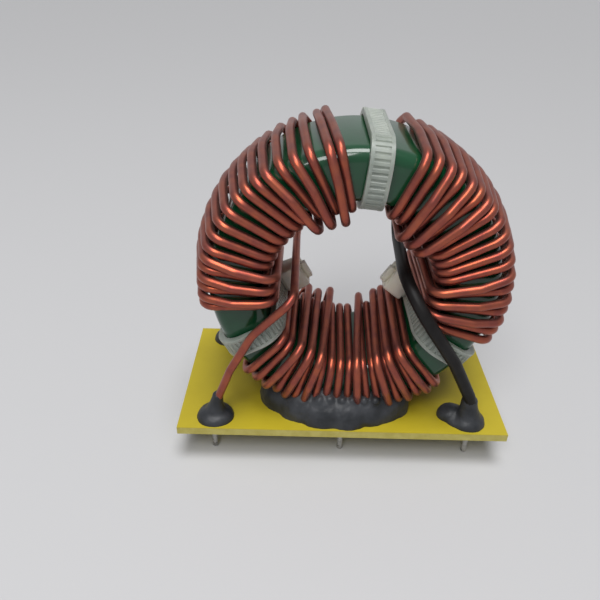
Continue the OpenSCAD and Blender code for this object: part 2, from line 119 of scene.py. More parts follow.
# Two tones that run into each other in clouds, and the mask between them
mottle, given, result = start_effect(
    "mottle",
    [("Place", "NodeSocketVector", None), ("Scale", "NodeSocketFloat", 200),
     ("First", "NodeSocketColor", None), ("Second", "NodeSocketColor", None)],
    [("Colour", "NodeSocketColor"), ("Mask", "NodeSocketFloat")],
)
cloud = mottle.nodes.new("ShaderNodeTexNoise")
cloud.inputs["Detail"].default_value = 4
spread = mottle.nodes.new("ShaderNodeMapRange")
spread.inputs["From Min"].default_value = 0.35
spread.inputs["From Max"].default_value = 0.65
blend = mottle.nodes.new("ShaderNodeMix")
blend.data_type = "RGBA"
mottle.links.new(given.outputs["Place"], cloud.inputs["Vector"])
mottle.links.new(given.outputs["Scale"], cloud.inputs["Scale"])
mottle.links.new(cloud.outputs["Fac"], spread.inputs["Value"])
mottle.links.new(spread.outputs["Result"], blend.inputs["Factor"])
mottle.links.new(given.outputs["First"], blend.inputs["A"])
mottle.links.new(given.outputs["Second"], blend.inputs["B"])
mottle.links.new(blend.outputs["Result"], result.inputs["Colour"])
mottle.links.new(spread.outputs["Result"], result.inputs["Mask"])

# Height of a skin that has broad swells and a fine grain
skin, given, result = start_effect(
    "skin",
    [("Place", "NodeSocketVector", None), ("Swell", "NodeSocketFloat", 300),
     ("Grain", "NodeSocketFloat", 3000), ("Grain share", "NodeSocketFloat", 0.3)],
    [("Height", "NodeSocketFloat")],
)
swell = skin.nodes.new("ShaderNodeTexNoise")
grain = skin.nodes.new("ShaderNodeTexNoise")
weigh = skin.nodes.new("ShaderNodeMath")
weigh.operation = "MULTIPLY_ADD"
skin.links.new(given.outputs["Place"], swell.inputs["Vector"])
skin.links.new(given.outputs["Swell"], swell.inputs["Scale"])
skin.links.new(given.outputs["Place"], grain.inputs["Vector"])
skin.links.new(given.outputs["Grain"], grain.inputs["Scale"])
skin.links.new(grain.outputs["Fac"], weigh.inputs[0])
skin.links.new(given.outputs["Grain share"], weigh.inputs[1])
skin.links.new(swell.outputs["Fac"], weigh.inputs[2])
skin.links.new(weigh.outputs["Value"], result.inputs["Height"])


def raise_skin(nodes, links, shader, place, strength, depth, **values):
    """Raises the shader's surface by a skin that is depth metres high at full strength."""
    height = place_effect(nodes, skin, **values)
    bump = nodes.new("ShaderNodeBump")
    bump.inputs["Strength"].default_value = strength
    bump.inputs["Distance"].default_value = depth
    links.new(place, height.inputs["Place"])
    links.new(height.outputs["Height"], bump.inputs["Height"])
    links.new(bump.outputs["Normal"], shader.inputs["Normal"])


def tone(nodes, links, shader, place, scale, first, second):
    """Gives the shader a base colour in two tones, and returns the mask between them."""
    tones = place_effect(nodes, mottle, Scale=scale, First=(*first, 1), Second=(*second, 1))
    links.new(place, tones.inputs["Place"])
    links.new(tones.outputs["Colour"], shader.inputs["Base Color"])
    return tones.outputs["Mask"]


section = slab_outline((CORE_OD - CORE_ID) / 2, CORE_W, RIM_R, RIM_STEPS)
bpy.ops.mesh.primitive_torus_add(
    major_segments=CORE_STEPS, minor_segments=len(section), location=(0, 0, 0)
)
core = bpy.context.object
core.name = "core_coated"
for index, vertex in enumerate(core.data.vertices):
    turn, corner = divmod(index, len(section))
    a = 2 * math.pi * turn / CORE_STEPS
    out = MID_R + section[corner][0]
    vertex.co = RING * MM + Vector((out * math.cos(a), section[corner][1], out * math.sin(a))) * MM
bpy.ops.object.mode_set(mode="EDIT")
bpy.ops.mesh.select_all(action="SELECT")
bpy.ops.mesh.normals_make_consistent(inside=False)
bpy.ops.object.mode_set(mode="OBJECT")
bpy.ops.object.shade_smooth_by_angle(angle=math.radians(40))

epoxy, nodes, links, shader, place = start_finish("green_epoxy")
tone(nodes, links, shader, place, 160, (0.0025, 0.043, 0.015), (0.004, 0.06, 0.022))
shader.inputs["Roughness"].default_value = 0.3
shader.inputs["Specular IOR Level"].default_value = 0.1
shader.inputs["Coat Weight"].default_value = 0.9
shader.inputs["Coat Roughness"].default_value = 0.1
raise_skin(nodes, links, shader, place, strength=0.25, depth=0.0001, Swell=220, Grain=2400)
dress(core, epoxy)
put_down(core, "core_coating", "core")

# ---- Windings ----
# Three windings of stiff enamelled copper wire, bent over the core by hand, turn after turn.
# The hole is too tight for one layer, so some turns ride on their neighbours. A winding's two
# leads run down to its pins.
WIRE_D = 1.5
WIRE_GAP = 0.1
SIDE_TURNS = 19
BOTTOM_TURNS = 20
BEND_INNER_R = 1.7
BEND_R = BEND_INNER_R + WIRE_D / 2
BOW_R = 9 * BEND_R
SWEEP_R = 3 * BEND_R

# Centre lines of the wire on the rim, in the hole and on the faces of the core
OUT_R = CORE_OD / 2 + WIRE_GAP + WIRE_D / 2
IN_R = CORE_ID / 2 - WIRE_GAP - WIRE_D / 2
FACE_Y = CORE_W / 2 + WIRE_GAP + WIRE_D / 2

# A turn that rides: how high it lies, its share of a turn's room in the hole, and how much higher
# the highest one lies. WOBBLE is how far the bows stray.
LAYER_GAP = 0.06
LAYER = WIRE_D + LAYER_GAP
OVER_ROOM = 0.4
RAISE = 1.3
WOBBLE = 0.045

# Where the leads pass the ties and the turns, in front of the core and behind it
TIE_GAP = 0.12
TIE_T = 1.15
SLEEVE_D = 2.3
FACE_OUT = max(CORE_W / 2 + TIE_GAP + TIE_T, FACE_Y + WIRE_D / 2) + WIRE_GAP
TURNS_OUT = FACE_Y + LAYER + WIRE_D / 2 + WIRE_GAP
LEAD_Y = FACE_OUT + WIRE_D / 2
LEAD_BACK = TURNS_OUT + WIRE_D / 2
SLEEVE_Y = FACE_OUT + SLEEVE_D / 2
SLEEVE_BACK = TURNS_OUT + SLEEVE_D / 2
SLEEVE_BULGE = 1.1
LEAD_R = 10.2
RIM_SIDE = CORE_OD / 2 + WIRE_D
TOP_SIDE = CORE_OD / 2 - WIRE_D
FACE_SIDE = MID_R - WIRE_D

# A lead's foot on its pin, and its knee
SHANK_D = 0.9
PIN_X = 24.6
PIN_Y = 12.5
PIN_ABOVE = 1
JOINT_Z = BOARD_TOP + PIN_ABOVE
BUTT = 0.25
LEAD_RISE = 4.9
KNEE_OUT = 0.2
BARE_LEAN = 1.7
SLEEVE_LEAN = 1
rng = random.Random(11)


def ring_pt(angle, r, y):
    """A point by its angle seen from the front, its distance from the axis and from mid-width."""
    a = math.radians(angle)
    return RING + Vector((r * math.cos(a), y, r * math.sin(a)))


def along(table, share):
    """The value at that share of the winding, from a table of shares and values."""
    for (s0, v0), (s1, v1) in zip(table, table[1:]):
        if share <= s1:
            return v0 + (v1 - v0) * (share - s0) / (s1 - s0)
    return table[-1][1]


def in_hole(k, turns, span, over):
    """The angle of turn k in the hole, where a turn that rides takes less room."""
    rooms = [OVER_ROOM if i in over else 1 for i in range(turns)]
    middles = [sum(rooms[:i]) + rooms[i] / 2 for i in range(turns)]
    return span[0] + (span[1] - span[0]) * (middles[k] - middles[0]) / (middles[-1] - middles[0])


NONE = ((0, 0), (1, 0))


def wind(turns, rim, lean, bow, front, back, over, slack=(NONE, NONE), slant=NONE, high=-1):
    """The corners and bend radii of a winding, from its first turn on the rim to its last in the hole.

    Along the winding, rim is the turns' angle at the front of the rim, lean how much further on
    they lie at its back, bow how far they stand off it, slack how far they hang into the hole at
    the front and back, and slant how much further on a riding turn lies at the back of the hole.
    front and back are the angles in the hole of the first and last turn, over lists the turns that
    ride, and high is the one that stands off more at the back.
    """
    route = []
    for k in range(turns):
        share, after = k / (turns - 1), (k + 1) / (turns - 1)
        a, more, off = along(rim, share), along(lean, share), along(bow, share)
        shift = rng.uniform(-WOBBLE, WOBBLE)
        route += [
            (ring_pt(a + more, OUT_R, FACE_Y), BEND_R),
            (ring_pt(a + more / 2, OUT_R + off + shift, 0), BOW_R),
            (ring_pt(a, OUT_R, -FACE_Y), BEND_R),
        ]
        up = LAYER if k in over else 0
        up_back = up + RAISE if k == high else up
        f, b = in_hole(k, turns, front, over), in_hole(k, turns, back, over)
        b += along(slant, share) if up else 0
        if up:
            route.append((ring_pt((a + f) / 2, MID_R, -FACE_Y - up), BEND_R))
        route.append((ring_pt(f, IN_R - up - along(slack[0], share), -FACE_Y - up), BEND_R))
        route.append((ring_pt(b, IN_R - up_back - along(slack[1], share), FACE_Y + up), BEND_R))
        if up and k < turns - 1:
            following = along(rim, after) + along(lean, after)
            route.append((ring_pt((b + following) / 2, MID_R, FACE_Y + up), BEND_R))
    return route


def on_pin(side, row, lean):
    """A lead's foot on its pin and its knee over it."""
    return [
        (Vector((side * PIN_X, row * PIN_Y, JOINT_Z + BUTT)), 0),
        (Vector((side * (PIN_X - lean), row * (PIN_Y + KNEE_OUT), JOINT_Z + LEAD_RISE)), SWEEP_R),
    ]


def bend(route):
    """The knots of a curve with straight runs and round bends: place, handle before, handle after.

    A bend starts and ends where its arc touches the runs, and its handles make it that arc.
    """
    knots = [[route[0][0], None, None]]
    for (before, _), (corner, radius), (after, _) in zip(route, route[1:], route[2:]):
        here, there = (corner - before).normalized(), (after - corner).normalized()
        angle = here.angle(there)
        trim = radius * math.tan(angle / 2)
        handle = 4 / 3 * math.tan(angle / 4) * radius
        start, end = corner - here * trim, corner + there * trim
        knots.append([start, None, start + here * handle])
        knots.append([end, end - there * handle, None])
    knots.append([route[-1][0], None, None])
    for one, two in zip(knots, knots[1:]):
        if one[2] is None:
            one[2] = one[0].lerp(two[0], 1 / 3)
            two[1] = two[0].lerp(one[0], 1 / 3)
    knots[0][1] = knots[0][0] * 2 - knots[0][2]
    knots[-1][2] = knots[-1][0] * 2 - knots[-1][1]
    return knots


MERGE = 0.01


def bent_bar(name, route, d, closed):
    """A round bar of diameter d along the route, as a mesh with or without closed ends."""
    bpy.ops.curve.primitive_bezier_curve_add(location=(0, 0, 0))
    bar = bpy.context.object
    bar.name = name
    line = bar.data
    line.resolution_u = 6
    line.bevel_depth = d / 2 * MM
    line.bevel_resolution = 4
    line.use_fill_caps = closed
    knots = bend(route)
    points = line.splines[0].bezier_points
    points.add(len(knots) - len(points))
    for point, (at, before, after) in zip(points, knots):
        point.handle_left_type = point.handle_right_type = "FREE"
        point.co = at * MM
        point.handle_left = before * MM
        point.handle_right = after * MM
    bpy.ops.object.convert(target="MESH")
    bpy.ops.object.mode_set(mode="EDIT")
    bpy.ops.mesh.select_all(action="SELECT")
    bpy.ops.mesh.remove_doubles(threshold=MERGE * MM)
    bpy.ops.mesh.normals_make_consistent(inside=False)
    bpy.ops.object.mode_set(mode="OBJECT")
    bpy.ops.object.shade_smooth()
    return bpy.context.object


enamel, nodes, links, shader, place = start_finish("red_enamel_on_copper")
tone(nodes, links, shader, place, 420, (0.25, 0.044, 0.028), (0.36, 0.076, 0.03))
shader.inputs["Metallic"].default_value = 0.92
shader.inputs["Roughness"].default_value = 0.36
shader.inputs["Coat Weight"].default_value = 0.8
shader.inputs["Coat Roughness"].default_value = 0.7
raise_skin(nodes, links, shader, place, strength=0.12, depth=0.00005, Swell=900, Grain=5000)

left_start = on_pin(-1, -1, BARE_LEAN) + [
    (ring_pt(215.5, RIM_SIDE, -LEAD_Y), SWEEP_R),
    (ring_pt(203.5, FACE_SIDE, -LEAD_Y), SWEEP_R),
    (ring_pt(180, LEAD_R, -LEAD_Y), BEND_R),
    (ring_pt(180, LEAD_R, LEAD_BACK), BEND_R),
    (ring_pt(105, TOP_SIDE, LEAD_BACK), BEND_R),
]
left_turns = wind(
    SIDE_TURNS,
    rim=[(0, 98.5), (0.06, 102.5), (0.11, 108.8), (0.28, 125.5), (0.44, 138.5), (0.66, 161), (1, 186)],
    lean=[(0, 4), (0.06, 4), (0.17, 1.5), (1, 0.6)],
    bow=[(0, 0.5), (0.12, 1.2), (0.3, 1.6), (0.5, 2), (0.75, 2), (1, 1.5)],
    front=(95, 188.8),
    back=(99.5, 193.5),
    over=(1, 3, 5, 13, 15, 17),
)
left_end = [
    (ring_pt(199, FACE_SIDE, LEAD_Y), SWEEP_R),
    (ring_pt(214, RIM_SIDE, LEAD_Y), SWEEP_R),
] + on_pin(-1, 1, BARE_LEAN)[::-1]

right_start = on_pin(1, -1, SLEEVE_LEAN) + [
    (ring_pt(326, 22.2, -SLEEVE_Y), SWEEP_R),
    (ring_pt(22, 8.7, -SLEEVE_Y - SLEEVE_BULGE), SWEEP_R),
    (ring_pt(358, LEAD_R, SLEEVE_BACK), BEND_R),
    (ring_pt(70, TOP_SIDE, SLEEVE_BACK), BEND_R),
]
right_turns = wind(
    SIDE_TURNS,
    rim=[(0, 69.2), (0.28, 45.8), (0.39, 37.6), (0.67, 9), (0.78, -1.2), (1, -20)],
    lean=[(0, 0.8), (1, 0.3)],
    bow=[(0, 0.7), (0.2, 1.3), (0.5, 1.9), (0.8, 1.9), (1, 1.4)],
    front=(71.5, -22.4),
    back=(67, -22.8),
    over=(2, 4, 6, 12, 14, 16),
    slack=(
        [(0, 0.3), (0.15, 1.1), (0.8, 1.1), (0.9, 0.8), (1, 0.1)],
        [(0, 0.3), (0.15, 0.7), (0.9, 0.7), (1, 0)],
    ),
)
right_end = [
    (ring_pt(334, FACE_SIDE, LEAD_Y), SWEEP_R),
    (ring_pt(324, RIM_SIDE, LEAD_Y), SWEEP_R),
] + on_pin(1, 1, BARE_LEAN)[::-1]

# The leads of the bottom winding lie low over the board and pass their pins by a little
LOW_GAP = 0.3
FIT = 0.05
LOW_PAST = 0.35
LOW_Z = BOARD_TOP + LOW_GAP + WIRE_D / 2
LOW_Y = PIN_Y + SHANK_D / 2 + FIT + WIRE_D / 2
bottom_start = [(Vector((LOW_PAST, LOW_Y, LOW_Z)), 0), (Vector((-10.2, LOW_Y, LOW_Z)), BEND_R)]
bottom_turns = wind(
    BOTTOM_TURNS,
    rim=[(0, 222.5), (0.16, 238.6), (0.32, 251.4), (0.53, 270.4), (0.74, 289), (1, 310.4)],
    lean=[(0, 1.5), (1, 1.5)],
    bow=[(0, 0.1), (1, 0.1)],
    front=(219, 311.8),
    back=(221.5, 314),
    over=(2, 4, 6, 11, 14, 16, 18),
    slant=[(0, 4), (0.32, 7.4), (0.6, 6), (0.75, 4), (1, 0)],
    high=6,
)
bottom_end = [
    (ring_pt(320, OUT_R, LEAD_BACK), BEND_R),
    (Vector((11.6, 9.5, LOW_Z)), BEND_R),
    (Vector((11.6, -8, LOW_Z)), BEND_R),
    (Vector((6, -LOW_Y, LOW_Z)), BEND_R),
    (Vector((-LOW_PAST, -LOW_Y, LOW_Z)), 0),
]

for side, route in (
    ("left", left_start + left_turns + left_end),
    ("right", right_start + right_turns + right_end),
    ("bottom", bottom_start + bottom_turns + bottom_end),
):
    wire = bent_bar("wire_" + side, route, WIRE_D, closed=True)
    dress(wire, enamel)
    put_down(wire, "enamelled_wire", "winding_" + side)

# ---- Sleeve ----
# A thin dark insulating tube, pushed over the front right lead from its foot, through the hole
# and up the back, because that lead passes over the turns.
SLEEVE_WALL = 0.35
SLEEVE_FROM = 1.4
SLEEVE_SHARE = 0.8
first_run = (right_start[1][0] - right_start[0][0]).normalized()
sleeve_route = [(right_start[0][0] + first_run * SLEEVE_FROM, 0)]
sleeve_route += right_start[1:-1]
sleeve_route += [(right_start[-2][0].lerp(right_start[-1][0], SLEEVE_SHARE), 0)]
sleeve = bent_bar("sleeve_front_right", sleeve_route, SLEEVE_D, closed=False)
wall = sleeve.modifiers.new("wall", "SOLIDIFY")
wall.thickness = SLEEVE_WALL * MM
wall.offset = -1
bpy.ops.object.modifier_apply(modifier=wall.name)

rubber, nodes, links, shader, place = start_finish("dark_sleeve")
tone(nodes, links, shader, place, 500, (0.006, 0.005, 0.005), (0.01, 0.009, 0.009))
shader.inputs["Specular IOR Level"].default_value = 0.2
shader.inputs["Roughness"].default_value = 0.48
raise_skin(nodes, links, shader, place, strength=0.25, depth=0.00008, Swell=600, Grain=4000)
dress(sleeve, rubber)
put_down(sleeve, "sleeve", "lead_sleeve")

# ---- Cable ties ----
# Moulded from natural nylon in one piece: a strap with cross teeth between two smooth rails, and
# a square head. The strap is pulled tight round the core and cut off short behind the head.
TIE_W = 3.6
RAIL_W = 0.6
TOOTH_PITCH = 1.02
TOOTH_DEPTH = 0.19
TOOTH_SINK = 0.05
TOOTH = ((0, 0), (0.46, 0), (0.62, 1), (0.84, 1))  # share of the pitch, share of the depth

# The stiff strap stands off the faces by STRAP_GAP, and touches the rims half way round their bends
STRAP_GAP = 0.42
STRAP_W = (CORE_OD - CORE_ID) / 2 + 2 * (STRAP_GAP + TIE_T)
STRAP_H = CORE_W + 2 * (STRAP_GAP + TIE_T)
STRAP_R = RIM_R + STRAP_GAP / (1 - math.sqrt(0.5)) + TIE_T
STRAP_LEN = 2 * (STRAP_W + STRAP_H - 4 * STRAP_R) + 2 * math.pi * STRAP_R

# The head with its mouth, its root in the strap, and the cut end of the strap behind it
HEAD_W = 5.2
HEAD_L = 5.4
HEAD_H = 4.2
HEAD_IN = 3.6
HEAD_STEP = 0.75
HEAD_Y = CORE_W / 2 - HEAD_IN
HEAD_TOP = CORE_ID / 2 - TIE_GAP - TIE_T - HEAD_STEP
HEAD_TAPER = (1, 0.86, 0.9)
HEAD_R = 0.35
MOUTH_RIM = 0.7
MOUTH_DEPTH = 1.6
MOUTH_SHAPE = (1, 0.6, 1)
ROOT_SHORT = 0.3
ROOT_SINK = 1
ROOT_R = 0.2
TAIL_L = 0.9
TAIL_SINK = 1
TAIL_R = 0.12
SLIM = 0.05


def on_strap(s, depth):
    """The point at distance s along the strap's outline, sunk by depth."""
    w, h, bend_len = STRAP_W - 2 * STRAP_R, STRAP_H - 2 * STRAP_R, STRAP_R * math.pi / 2
    half = w + h + 2 * bend_len
    if s >= half:
        return -on_strap(s - half, depth)
    r = STRAP_R - depth
    if s < h:
        return Vector((STRAP_W / 2 - depth, s - h / 2))
    if s < h + bend_len:
        a = (s - h) / STRAP_R
        return Vector((w / 2 + r * math.cos(a), h / 2 + r * math.sin(a)))
    if s < h + bend_len + w:
        return Vector((w / 2 - (s - h - bend_len), STRAP_H / 2 - depth))
    a = math.pi / 2 + (s - h - bend_len - w) / STRAP_R
    return Vector((-w / 2 + r * math.cos(a), h / 2 + r * math.sin(a)))


def select_faces(piece, wanted):
    """Edit mode with just the wanted faces selected."""
    bpy.ops.object.mode_set(mode="OBJECT")
    for part in (piece.data.vertices, piece.data.edges, piece.data.polygons):
        part.foreach_set("select", [False] * len(part))
    for face in piece.data.polygons:
        face.select = wanted(face)
    bpy.ops.object.mode_set(mode="EDIT")
    bpy.ops.mesh.select_mode(type="FACE")


def cut_block(low, high):
    """A block from its lowest to its highest corner, in millimetres."""
    bpy.ops.mesh.primitive_cube_add(size=1, location=(Vector(low) + Vector(high)) / 2 * MM)
    block = bpy.context.object
    block.scale = (Vector(high) - Vector(low)) * MM
    bpy.ops.object.transform_apply(location=True, rotation=True, scale=True)
    return block


def soften(piece, width, segments=2):
    """Rounds the hard edges of a piece."""
    bevel = piece.modifiers.new("soft_edges", "BEVEL")
    bevel.width = width * MM
    bevel.segments = segments
    bevel.limit_method = "ANGLE"
    bevel.angle_limit = math.radians(35)
    bpy.context.view_layer.objects.active = piece
    bpy.ops.object.modifier_apply(modifier=bevel.name)


def across_strap(groove):
    """Depth and side of the corners across the strap, where the floor of its groove is that deep."""
    half_w, groove_w = TIE_W / 2, TIE_W / 2 - RAIL_W
    return (
        (0, half_w), (0, groove_w), (groove, groove_w), (groove, -groove_w),
        (0, -groove_w), (0, -half_w), (TIE_T, -half_w), (TIE_T, half_w),
    )


strap_corners = len(across_strap(0))
teeth = int(STRAP_LEN / TOOTH_PITCH / 2) * 2
bpy.ops.mesh.primitive_torus_add(
    major_segments=teeth * len(TOOTH), minor_segments=strap_corners, location=(0, 0, 0)
)
strap = bpy.context.object
for index, vertex in enumerate(strap.data.vertices):
    station, corner = divmod(index, strap_corners)
    tooth, step = divmod(station, len(TOOTH))
    s = (tooth + TOOTH[step][0]) * STRAP_LEN / teeth
    depth, side = across_strap(TOOTH_SINK + TOOTH[step][1] * TOOTH_DEPTH)[corner]
    at = on_strap(s, depth)
    vertex.co = Vector((MID_R + at.x, at.y, side)) * MM
bpy.ops.object.mode_set(mode="EDIT")
bpy.ops.mesh.select_all(action="SELECT")
bpy.ops.mesh.normals_make_consistent(inside=False)
bpy.ops.object.mode_set(mode="OBJECT")

head = cut_block(
    (HEAD_TOP - HEAD_H, HEAD_Y - HEAD_L / 2, -HEAD_W / 2),
    (HEAD_TOP, HEAD_Y + HEAD_L / 2, HEAD_W / 2),
)
select_faces(head, lambda face: face.normal.x < -0.5)
bpy.ops.transform.resize(value=HEAD_TAPER)
bpy.ops.mesh.inset(thickness=MOUTH_RIM * MM)
bpy.ops.transform.resize(value=MOUTH_SHAPE)
bpy.ops.mesh.extrude_region_move(TRANSFORM_OT_translate={"value": (MOUTH_DEPTH * MM, 0, 0)})
bpy.ops.object.mode_set(mode="OBJECT")
soften(head, HEAD_R, 3)
root = cut_block(
    (HEAD_TOP - ROOT_SINK, HEAD_Y - HEAD_L / 2 + ROOT_SHORT, -TIE_W / 2 + SLIM),
    (HEAD_TOP + HEAD_STEP + TIE_T / 2, HEAD_Y + HEAD_L / 2 - ROOT_SHORT, TIE_W / 2 - SLIM),
)
soften(root, ROOT_R)
tail = cut_block(
    (HEAD_TOP - HEAD_H - TAIL_L, HEAD_Y - TIE_T / 2, -TIE_W / 2 + SLIM),
    (HEAD_TOP - HEAD_H / 2 + TAIL_SINK, HEAD_Y + TIE_T / 2, TIE_W / 2 - SLIM),
)
soften(tail, TAIL_R)
bpy.ops.object.select_all(action="DESELECT")
for part in (head, root, tail, strap):
    part.select_set(True)
bpy.context.view_layer.objects.active = strap
bpy.ops.object.join()
bpy.ops.object.shade_smooth_by_angle(angle=math.radians(30))

# A mask by the distance from the ring's axis: 0 beyond Far, on the straps, and 1 within Near, in
# the heads, where it brings in a painted light: a much paler tone that stands in for light passing
# through them
inward, given, result = start_effect(
    "inward",
    [("Place", "NodeSocketVector", None), ("Far", "NodeSocketFloat", 0.0146),
     ("Near", "NodeSocketFloat", 0.0138)],
    [("Mask", "NodeSocketFloat")],
)
shift = inward.nodes.new("ShaderNodeVectorMath")
shift.operation = "SUBTRACT"
shift.inputs[1].default_value = RING * MM
flatten = inward.nodes.new("ShaderNodeVectorMath")
flatten.operation = "MULTIPLY"
flatten.inputs[1].default_value = (1, 0, 1)
reach = inward.nodes.new("ShaderNodeVectorMath")
reach.operation = "LENGTH"
ramp = inward.nodes.new("ShaderNodeMapRange")
inward.links.new(given.outputs["Place"], shift.inputs[0])
inward.links.new(shift.outputs["Vector"], flatten.inputs[0])
inward.links.new(flatten.outputs["Vector"], reach.inputs[0])
inward.links.new(reach.outputs["Value"], ramp.inputs["Value"])
inward.links.new(given.outputs["Far"], ramp.inputs["From Min"])
inward.links.new(given.outputs["Near"], ramp.inputs["From Max"])
inward.links.new(ramp.outputs["Result"], result.inputs["Mask"])

nylon, nodes, links, shader, place = start_finish("natural_nylon")
strap_tones = place_effect(
    nodes, mottle, Scale=350, First=(0.25, 0.28, 0.25, 1), Second=(0.32, 0.35, 0.31, 1)
)
# The heads' tone is painted light, far paler than the strap's, though both are the same nylon
painted_light_head_tones = place_effect(
    nodes, mottle, Scale=350, First=(0.97, 0.93, 0.72, 1), Second=(0.98, 0.95, 0.78, 1)
)
painted_light_head_mask = place_effect(nodes, inward)
both = nodes.new("ShaderNodeMix")
both.data_type = "RGBA"
for effect in (strap_tones, painted_light_head_tones, painted_light_head_mask):
    links.new(place, effect.inputs["Place"])
links.new(painted_light_head_mask.outputs["Mask"], both.inputs["Factor"])
links.new(strap_tones.outputs["Colour"], both.inputs["A"])
links.new(painted_light_head_tones.outputs["Colour"], both.inputs["B"])
links.new(both.outputs["Result"], shader.inputs["Base Color"])
shader.inputs["Roughness"].default_value = 0.34
shader.inputs["Subsurface Weight"].default_value = 0.6
shader.inputs["Subsurface Radius"].default_value = (0.9, 0.9, 0.8)
shader.inputs["Subsurface Scale"].default_value = 0.003
raise_skin(nodes, links, shader, place, strength=0.08, depth=0.00004, Swell=700, Grain=4000)
dress(strap, nylon)
for where, angle in (("lower_left", 209.2), ("lower_right", 326.8), ("top", 84.3)):
    tie = strap
    if where != "top":
        tie = strap.copy()
        tie.data = strap.data.copy()
        bpy.context.collection.objects.link(tie)
    tie.name = "cable_tie_" + where
    tie.rotation_euler = (0, -math.radians(angle), 0)
    tie.location = RING * MM
    put_down(tie, "natural_nylon", "tie_" + where)

# ---- Base board ----
# Sawn from bare yellow glass-epoxy laminate without copper, with six drilled holes. The sawn
# edges are paler than the top.
EDGE_FADE = (0.1, 0.02)
laminate, nodes, links, shader, place = start_finish("yellow_laminate")
top_tones = place_effect(
    nodes, mottle, Scale=90, First=(0.4, 0.317, 0.014, 1), Second=(0.455, 0.363, 0.018, 1)
)
edge_tones = place_effect(
    nodes, mottle, Scale=600, First=(0.42, 0.355, 0.065, 1), Second=(0.5, 0.435, 0.11, 1)
)
height = nodes.new("ShaderNodeSeparateXYZ")
on_top = nodes.new("ShaderNodeMapRange")
on_top.inputs["From Min"].default_value = (BOARD_TOP - EDGE_FADE[0]) * MM
on_top.inputs["From Max"].default_value = (BOARD_TOP - EDGE_FADE[1]) * MM
both = nodes.new("ShaderNodeMix")
both.data_type = "RGBA"
for effect in (top_tones, edge_tones):
    links.new(place, effect.inputs["Place"])
links.new(place, height.inputs["Vector"])
links.new(height.outputs["Z"], on_top.inputs["Value"])
links.new(on_top.outputs["Result"], both.inputs["Factor"])
links.new(edge_tones.outputs["Colour"], both.inputs["A"])
links.new(top_tones.outputs["Colour"], both.inputs["B"])
links.new(both.outputs["Result"], shader.inputs["Base Color"])
shader.inputs["Roughness"].default_value = 0.4
raise_skin(nodes, links, shader, place, strength=0.15, depth=0.00006, Swell=900, Grain=5000)
dress(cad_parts["base_board"], laminate)

# ---- Pins ----
# Six round pins of tinned copper wire, pushed through the board from below and held by their
# shoulders and the solder. The part stands on them.
tin, nodes, links, shader, place = start_finish("tinned_pin")
mask = tone(nodes, links, shader, place, 900, (0.36, 0.35, 0.33), (0.48, 0.47, 0.44))
shader.inputs["Metallic"].default_value = 1
links.new(mask, shader.inputs["Roughness"])
for row in ("front", "rear"):
    for column in ("left", "centre", "right"):
        dress(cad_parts["pin_" + row + "_" + column], tin)

# ---- Solder ----
# Six joints of tin solder, run round the pins by hand, that hold the ends of the wires. They are
# hidden in the silicone.
solder, nodes, links, shader, place = start_finish("dull_solder")
tone(nodes, links, shader, place, 700, (0.42, 0.43, 0.44), (0.56, 0.57, 0.58))
shader.inputs["Metallic"].default_value = 1
shader.inputs["Roughness"].default_value = 0.35
dress(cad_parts["solder_joints"], solder)

# ---- Silicone ----
# Dark grey silicone, squeezed out of a tube and left to cure: a cone over each corner pin, and a
# mound that beds the ring with its bottom winding and covers the middle pins.
SILICONE_CELL = 0.28
CONE_H = 5.7
CONE_SUNK = 0.5
RIDGE = (0.9, 1.1, 0.8)
RIDGE_OUT = 0.8
RIDGE_Z = 4.8
RIDGE_END = 2.1
silicone, nodes, links, shader, place = start_finish("dark_silicone")
tone(nodes, links, shader, place, 260, (0.02, 0.022, 0.025), (0.045, 0.048, 0.054))
shader.inputs["Specular IOR Level"].default_value = 0.26
shader.inputs["Roughness"].default_value = 0.42
raise_skin(nodes, links, shader, place, strength=0.55, depth=0.0003, Swell=420, Grain=1500)
lumps = bpy.data.textures.new("lumps", "CLOUDS")
lumps.noise_scale = 4 * MM


def blob(x, y, z, rx, ry, rz):
    """One ball of silicone, in millimetres."""
    bpy.ops.mesh.primitive_uv_sphere_add(segments=48, ring_count=24, location=Vector((x, y, z)) * MM)
    ball = bpy.context.object
    ball.scale = Vector((rx, ry, rz)) * MM
    bpy.ops.object.transform_apply(location=True, rotation=True, scale=True)
    return ball


def neck(x, y, lean, foot_r, top_r):
    """A cone with hollow sides that rises from below the board's face round a lead that leans."""
    bpy.ops.mesh.primitive_cylinder_add(vertices=48, radius=1, depth=1, location=(0, 0, 0))
    cone = bpy.context.object
    select_faces(cone, lambda face: False)
    bpy.ops.mesh.select_mode(type="EDGE")
    bpy.ops.object.mode_set(mode="OBJECT")
    for edge in cone.data.edges:
        low, high = (cone.data.vertices[i].co.z for i in edge.vertices)
        edge.select = low != high
    bpy.ops.object.mode_set(mode="EDIT")
    bpy.ops.mesh.subdivide(number_cuts=9)
    bpy.ops.object.mode_set(mode="OBJECT")
    for vertex in cone.data.vertices:
        t = vertex.co.z + 0.5
        r = top_r + (foot_r - top_r) * (1 - t) ** 2
        z = BOARD_TOP - CONE_SUNK + t * (CONE_H + CONE_SUNK)
        vertex.co = Vector((x + lean * t + vertex.co.x * r, y + vertex.co.y * r, z)) * MM
    return cone


